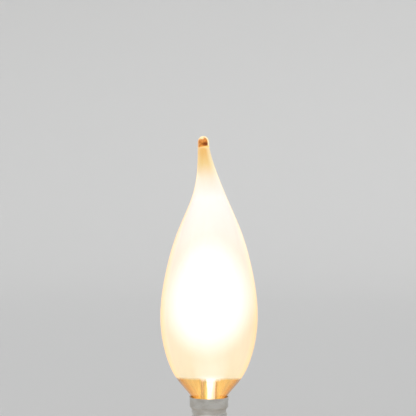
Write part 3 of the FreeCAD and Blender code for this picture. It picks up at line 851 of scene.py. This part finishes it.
def cap_rings(wall):
    """The cap's rings from the lip to the rim, taken inwards by a wall."""
    foot = thread_mean - LIP_RADIUS - wall
    rings = []
    for angle in steps(0, math.pi / 2, FOOT_RINGS)[:-1]:
        rings.append((UP * (THREAD_BOTTOM - foot * math.cos(angle)), LIP_RADIUS + foot * math.sin(angle), 0))
    rings += thread_rings(wall)
    for height, radius in [(SKIRT_BOTTOM - SKIRT_CREASE, SKIRT_RADIUS - CREASE_STEP),
                           (SKIRT_BOTTOM, SKIRT_RADIUS),
                           (SKIRT_BOTTOM + SKIRT_CREASE, SKIRT_RADIUS),
                           (cap_rim - RIM_HEIGHT, SKIRT_RADIUS),
                           (cap_rim - RIM_ROUND, rim_radius - RIM_SIDE_STEP),
                           (cap_rim, rim_radius - RIM_TOP_STEP)]:
        rings.append((UP * height, radius - wall, 0))
    return rings

# %% Cap
CAP_SEGMENTS = 72
bm = bmesh.new()
outer_skin = cap_rings(0)
raise_rings(bm, outer_skin + cap_rings(CAP_WALL)[::-1] + outer_skin[:1], CAP_SEGMENTS)
bmesh.ops.remove_doubles(bm, verts=bm.verts, dist=MERGE_DISTANCE)
screw_cap = make_piece("screw_cap", bm, [])
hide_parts("cap_shell")

# %% [markdown]
# ## The exhaust tube
# The bulb was pumped empty through this slim tube, which was then melted shut. It is drawn here as one train
# of rings, up the outside, over its mouth and down the bore, and it leans a little to the right, as the photo
# shows it.

# %% Tube rings
TUBE_RADIUS = 1.25 * MM
TUBE_MOUTH = 1.7 * MM
MOUTH_LENGTH = 5 * MM
MOUTH_CURVE = 1.5
TUBE_BORE = 0.7 * MM
TUBE_PLUG = 2.0 * MM
TUBE_LEAN = 0.65 * MM
LEAN_RATE = 1.6
TUBE_FOOT_DEGREES = (25, 50, 75, 90)
TUBE_RINGS = 24
BORE_RINGS = 16
TUBE_SEGMENTS = 32
tube_low, tube_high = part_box("exhaust_tube")


def tube_ring(height, radius):
    share = (height - tube_low.z) / (tube_high.z - tube_low.z)
    return Vector((TUBE_LEAN * min(1, LEAN_RATE * share), 0, height)), radius, 0


tube_rings = []
for degrees in TUBE_FOOT_DEGREES:
    angle = math.radians(degrees)
    foot_height = tube_low.z + TUBE_RADIUS * (1 - math.cos(angle))
    tube_rings.append(tube_ring(foot_height, TUBE_RADIUS * math.sin(angle)))
for height in steps(tube_low.z + 2 * TUBE_RADIUS, tube_high.z, TUBE_RINGS):
    widening = max(0, (height - tube_high.z + MOUTH_LENGTH) / MOUTH_LENGTH)
    tube_rings.append(tube_ring(height, TUBE_RADIUS + (TUBE_MOUTH - TUBE_RADIUS) * widening ** MOUTH_CURVE))
for height in steps(tube_high.z, tube_low.z + TUBE_PLUG, BORE_RINGS):
    tube_rings.append(tube_ring(height, TUBE_BORE))
print("tube: %d rings" % len(tube_rings))

# %% [markdown]
# The tube carries so much light that it looks white, painted in its emission, with a soft rim and a cream
# right side that is painted dimmer, as painted shade. Its own light is a cold blue white, because the amber
# glass in front of it takes away most of the blue.

# %% Core glass
CORE_LIGHT = [(0.4, (0.5, 0.58, 1.0)), (0.75, (0.3, 0.35, 0.65)), (1.0, (0.15, 0.16, 0.35))]
CORE_STRENGTH = 3.7
SHADED_CREAM_SIDE = (0.23, 0.26, 0.53, 1)
CREAM_SLOPE = (1, 0, -0.14)
CREAM_FADE = (-2.25 * MM, -1.95 * MM)
CORE_STREAK = (0.5 * MM, 0.5 * MM, 5 * MM)
CORE_STREAK_FADE = (0.3, 0.7)
CORE_STREAK_FLOOR = 0.8
CORE_FOOT = (15 * MM, 23 * MM)
CORE_FOOT_FLOOR = 0.4
core_glass, core_shader = finish("core_glass", Base_Color=(1, 0.95, 0.88, 1), Roughness=0.15, IOR=1.54)
# The right side of the tube's painted light turns cream and dimmer: painted shade.
shaded_side_share = share_of(core_glass, along(core_glass, CREAM_SLOPE), *CREAM_FADE)
core_light = mix_colours(core_glass, shaded_side_share, tint_by_facing(core_glass, CORE_LIGHT), SHADED_CREAM_SIDE)
feed(core_glass, core_light, core_shader.inputs["Emission Color"])
core_streaks = share_of(core_glass, clouds(core_glass, CORE_STREAK), *CORE_STREAK_FADE,
                        bottom=CORE_STREAK_FLOOR)
core_foot = share_of(core_glass, along(core_glass, UP), *CORE_FOOT, bottom=CORE_FOOT_FLOOR)
feed(core_glass, calc(core_glass, "MULTIPLY", core_streaks, core_foot, CORE_STRENGTH),
     core_shader.inputs["Emission Strength"])

# %% Exhaust tube
bm = bmesh.new()
foot_loop, bore_loop = raise_rings(bm, tube_rings, TUBE_SEGMENTS)
close_at(bm, foot_loop, UP * tube_low.z)
bore_end, _, _ = tube_rings[-1]
close_at(bm, bore_loop, bore_end)
pump_tube = make_piece("pump_tube", bm, [core_glass])
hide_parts("exhaust_tube")

# %% [markdown]
# ## Finishes for the pieces of the frame
# The other pieces keep their solids. Their meshes are loose flat triangles, so a small node tree merges the
# doubles and shades every edge smooth that turns by less than thirty degrees.

# %% Smooth shading
SMOOTH_ANGLE = math.radians(30)
shading = bpy.data.node_groups.new("smooth_by_angle", "GeometryNodeTree")
shading.interface.new_socket("Geometry", in_out="INPUT", socket_type="NodeSocketGeometry")
shading.interface.new_socket("Geometry", in_out="OUTPUT", socket_type="NodeSocketGeometry")
entry = shading.nodes.new("NodeGroupInput")
exit_node = shading.nodes.new("NodeGroupOutput")
merge = shading.nodes.new("GeometryNodeMergeByDistance")
merge.inputs["Distance"].default_value = MERGE_DISTANCE
edge_angle = shading.nodes.new("GeometryNodeInputMeshEdgeAngle")
gentle = shading.nodes.new("FunctionNodeCompare")
gentle.operation = "LESS_THAN"
gentle.inputs["B"].default_value = SMOOTH_ANGLE
smooth_edges = shading.nodes.new("GeometryNodeSetShadeSmooth")
smooth_edges.domain = "EDGE"
smooth_faces = shading.nodes.new("GeometryNodeSetShadeSmooth")
smooth_faces.domain = "FACE"
shading.links.new(entry.outputs[0], merge.inputs["Geometry"])
shading.links.new(merge.outputs["Geometry"], smooth_edges.inputs["Geometry"])
shading.links.new(edge_angle.outputs["Unsigned Angle"], gentle.inputs["A"])
shading.links.new(gentle.outputs["Result"], smooth_edges.inputs["Shade Smooth"])
shading.links.new(smooth_edges.outputs["Geometry"], smooth_faces.inputs["Geometry"])
shading.links.new(smooth_faces.outputs["Geometry"], exit_node.inputs[0])


def dress(name, material):
    """Gives a node of the frame its finish, and shades it smooth where its edges are gentle."""
    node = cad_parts[name]
    for slot in node.material_slots:
        slot.material = material
    modifier = node.modifiers.new("smooth", "NODES")
    modifier.node_group = shading
    print("%s: %s" % (name, material.name))

# %% [markdown]
# The stem and its rod are lead glass, drawn with fine upright streaks. The tube is thin and the eye sees it
# best at its edges, so its emission paints light there, and its middle catches some light of the white tube
# inside, painted in the same emission and dimmed in streaks. The index of refraction is set far below that
# of lead glass, so that the wall bends little light and the white tube shows clearly.

# %% Stem glass
STEM_LIGHT = [
    (0.0, (0.42, 0.34, 0.22)),
    (0.08, (0.08, 0.05, 0.02)),
    (0.14, (0.0, 0.0, 0.0)),
    (0.5, (0.0, 0.0, 0.0)),
    (1.0, (0.7, 0.45, 0.2)),
]
STEM_IOR = 1.07
STEM_STREAK = (0.6 * MM, 0.6 * MM, 8 * MM)
STEM_STREAK_FADE = (0.3, 0.7)
STEM_STREAK_FLOOR = 0.5
stem_glass, stem_shader = finish("stem_glass", Roughness=0.02, IOR=STEM_IOR, Transmission_Weight=1.0)
feed(stem_glass, tint_by_facing(stem_glass, STEM_LIGHT), stem_shader.inputs["Emission Color"])
stem_streaks = share_of(stem_glass, clouds(stem_glass, STEM_STREAK), *STEM_STREAK_FADE,
                        bottom=STEM_STREAK_FLOOR)
feed(stem_glass, stem_streaks, stem_shader.inputs["Emission Strength"])
for name in ("stem", "support_rod", "fuse"):
    dress(name, stem_glass)

# %% [markdown]
# ## Wires and metals
# Each metal is a mix of a clean and a stained tone in soft patches, and its gloss changes along the way it
# was worked: drawn wires have lines along them, turned and rolled parts have lines round them. Pictures of
# metal could be wrapped round the pieces, but noise needs no unwrapping and doesn't repeat.

# %% Metal helper
STAIN_FADE = (0.4, 0.75)
GROOVE_LOW = 0.3
GROOVE_HIGH = 0.7
GROOVE_DEPTH = 0.006 * MM


def metal(name, clean, stained, patch, lines, gloss):
    """A worked metal: two tones in patches, gloss in lines. Sizes in millimetres, gloss from and to."""
    material, shader = finish(name, Metallic=1.0)
    stain = share_of(material, clouds(material, [length * MM for length in patch], detail=4), *STAIN_FADE)
    feed(material, mix_colours(material, stain, (*clean, 1), (*stained, 1)), shader.inputs["Base Color"])
    grooves = clouds(material, [length * MM for length in lines], detail=3)
    rough = add_node(material, "ShaderNodeMapRange", Value=grooves, From_Min=GROOVE_LOW,
                     From_Max=GROOVE_HIGH, To_Min=gloss[0], To_Max=gloss[1])
    feed(material, rough.outputs["Result"], shader.inputs["Roughness"])
    bump = add_node(material, "ShaderNodeBump", Height=grooves, Distance=GROOVE_DEPTH)
    feed(material, bump.outputs["Normal"], shader.inputs["Normal"])
    return material

# %% Metals
cap_metal = metal("cap_metal", (0.74, 0.72, 0.68), (0.55, 0.51, 0.45), (5, 5, 3), (9, 9, 0.09), (0.22, 0.4))
nickel = metal("nickel", (0.66, 0.62, 0.57), (0.45, 0.41, 0.37), (1, 1, 2), (0.1, 0.1, 2), (0.2, 0.4))
molybdenum = metal("molybdenum", (0.42, 0.41, 0.4), (0.27, 0.25, 0.27), (1, 1, 1), (0.1, 0.6, 0.1),
                   (0.25, 0.45))
copper = metal("copper", (0.93, 0.6, 0.45), (0.5, 0.26, 0.17), (1, 1, 2), (0.1, 0.1, 2), (0.2, 0.45))
brass = metal("brass", (0.80, 0.60, 0.30), (0.52, 0.34, 0.15), (2, 2, 2), (0.12, 0.12, 0.12), (0.2, 0.42))
solder = metal("solder", (0.66, 0.66, 0.67), (0.42, 0.42, 0.44), (0.5, 0.5, 0.4), (0.3, 0.3, 0.3),
               (0.25, 0.55))
screw_cap.data.materials.append(cap_metal)
for number in (1, 2, 3):
    dress("support_wire_%d" % number, molybdenum)
for name in ("left_inner_lead", "right_inner_lead"):
    dress(name, nickel)
for name in ("left_seal_wire", "right_seal_wire", "centre_lead", "fuse_lead", "side_lead"):
    dress(name, copper)
dress("contact_eyelet", brass)
for name in ("centre_solder", "side_solder"):
    dress(name, solder)

# %% [markdown]
# ## Cement and black glass
# The cement is a baked mix of resin and stone dust: dull, grainy and a little pitted. The foot of the cap is
# black glass, pressed while hot, so it is glossy with a slow wave, and warm brown where light gets into it.

# %% Cement
CEMENT_TONES = [(0.35, (0.36, 0.31, 0.24)), (0.5, (0.60, 0.55, 0.46)), (0.68, (0.74, 0.71, 0.63))]
CEMENT_GRAIN = (0.25 * MM, 0.25 * MM, 0.25 * MM)
PIT_DEPTH = 0.05 * MM
cement, cement_shader = finish("cement", Roughness=0.9)
grain = clouds(cement, CEMENT_GRAIN, detail=5)
feed(cement, colour_ramp(cement, grain, CEMENT_TONES), cement_shader.inputs["Base Color"])
pits = add_node(cement, "ShaderNodeBump", Height=grain, Distance=PIT_DEPTH)
feed(cement, pits.outputs["Normal"], cement_shader.inputs["Normal"])
dress("cap_cement", cement)

# %% Black glass
BLACK_TONES = [(0.3, (0.006, 0.006, 0.008)), (0.75, (0.03, 0.018, 0.012))]
BLACK_SWIRL = (2 * MM, 2 * MM, 1 * MM)
BLACK_WAVE = (1.5 * MM, 1.5 * MM, 1.5 * MM)
BLACK_WAVE_HEIGHT = 0.03 * MM
DULLEST = 0.3
black_glass, black_shader = finish("black_glass", IOR=1.6)
swirl = clouds(black_glass, BLACK_SWIRL, detail=3)
feed(black_glass, colour_ramp(black_glass, swirl, BLACK_TONES), black_shader.inputs["Base Color"])
smear = share_of(black_glass, swirl, 1.0, 0.0)
feed(black_glass, calc(black_glass, "MULTIPLY", smear, DULLEST), black_shader.inputs["Roughness"])
feed(black_glass, wavy(black_glass, BLACK_WAVE, BLACK_WAVE_HEIGHT), black_shader.inputs["Normal"])
dress("cap_insulator", black_glass)

# %% [markdown]
# ## The studio
# The stage is one round bowl: a flat floor that sweeps up into a wall on every side, so that each view has
# the same plain pale ground with no corner in it.

# %% Stage
FLOOR_MIDDLE = 0.05
FLOOR_RADIUS = 0.8
SWEEP = 0.5
SWEEP_RINGS = 12
STAGE_SEGMENTS = 96
PAPER = (0.76, 0.75, 0.735)
bm = bmesh.new()
sweep_rings = [(Vector(), FLOOR_MIDDLE, 0), (Vector(), FLOOR_RADIUS, 0)]
for angle in steps(0, math.pi / 2, SWEEP_RINGS)[1:]:
    sweep_rings.append((UP * SWEEP * (1 - math.cos(angle)), FLOOR_RADIUS + SWEEP * math.sin(angle), 0))
inner_loop, _ = raise_rings(bm, sweep_rings, STAGE_SEGMENTS)
close_at(bm, inner_loop, Vector())
paper, _ = finish("backdrop_paper", Base_Color=(*PAPER, 1), Roughness=0.9)
stage_bowl = smooth_object("stage_bowl", bm, [paper])

# %% [markdown]
# ## Light
# The studio is lit by two large soft lamps and by a pale world that is brighter round each lamp. So the
# curved glass mirrors soft patches without hard edges, and the bulb's own glow leads. Where the camera looks
# past the stage, it sees the colour of the paper.

# %% Lamps
KEY_PLACE = Vector((-1.8, -1.9, 2.4))
KEY_SIZE = 3.4
KEY_WATTS = 8
FILL_PLACE = Vector((2.2, -1.4, 1.8))
FILL_SIZE = 3.0
FILL_WATTS = 3


def soft_lamp(name, place, size, watts):
    """A round lamp that points at the middle of the bulb."""
    lamp_data = bpy.data.lights.new(name, "AREA")
    lamp_data.shape = "DISK"
    lamp_data.size = size
    lamp_data.energy = watts
    lamp = add_object(name, lamp_data)
    lamp.location = place
    lamp.rotation_euler = (UP * BULB_HEIGHT / 2 - place).to_track_quat("-Z", "Y").to_euler()
    print("%s: %.1f m wide, %.0f W" % (name, size, watts))


soft_lamp("key_lamp", KEY_PLACE, KEY_SIZE, KEY_WATTS)
soft_lamp("fill_lamp", FILL_PLACE, FILL_SIZE, FILL_WATTS)

# %% World
SKY_COLOUR = (0.96, 0.98, 1.0, 1)
SKY_STRENGTH = 0.34
KEY_SKY = 0.75
FILL_SKY = 0.28
SKY_SPREAD = (0.3, 1.0)
world = bpy.data.worlds.new("studio")
world.use_nodes = True
sky = world.node_tree.nodes["Background"]
sky.inputs["Color"].default_value = SKY_COLOUR


def bright_patch(place, strength):
    """World light that grows softly towards the direction of a place."""
    look = add_node(world, "ShaderNodeVectorMath", {"operation": "DOT_PRODUCT"})
    feed(world, add_node(world, "ShaderNodeTexCoord").outputs["Generated"], look.inputs[0])
    look.inputs[1].default_value = place.normalized()
    towards = share_of(world, look.outputs["Value"], *SKY_SPREAD, kind="SMOOTHSTEP")
    return calc(world, "MULTIPLY", towards, strength)


sky_strength = calc(world, "ADD", bright_patch(KEY_PLACE, KEY_SKY), bright_patch(FILL_PLACE, FILL_SKY),
                    SKY_STRENGTH)
feed(world, sky_strength, sky.inputs["Strength"])
past_stage = add_node(world, "ShaderNodeBackground", Color=(*PAPER, 1))
seen = add_node(world, "ShaderNodeLightPath").outputs["Is Camera Ray"]
sky_mix = add_node(world, "ShaderNodeMixShader", Fac=seen)
feed(world, sky.outputs["Background"], sky_mix.inputs[1])
feed(world, past_stage.outputs["Background"], sky_mix.inputs[2])
feed(world, sky_mix.outputs["Shader"], world.node_tree.nodes["World Output"].inputs["Surface"])
bpy.context.scene.world = world
bpy.context.scene.view_settings.view_transform = "Standard"
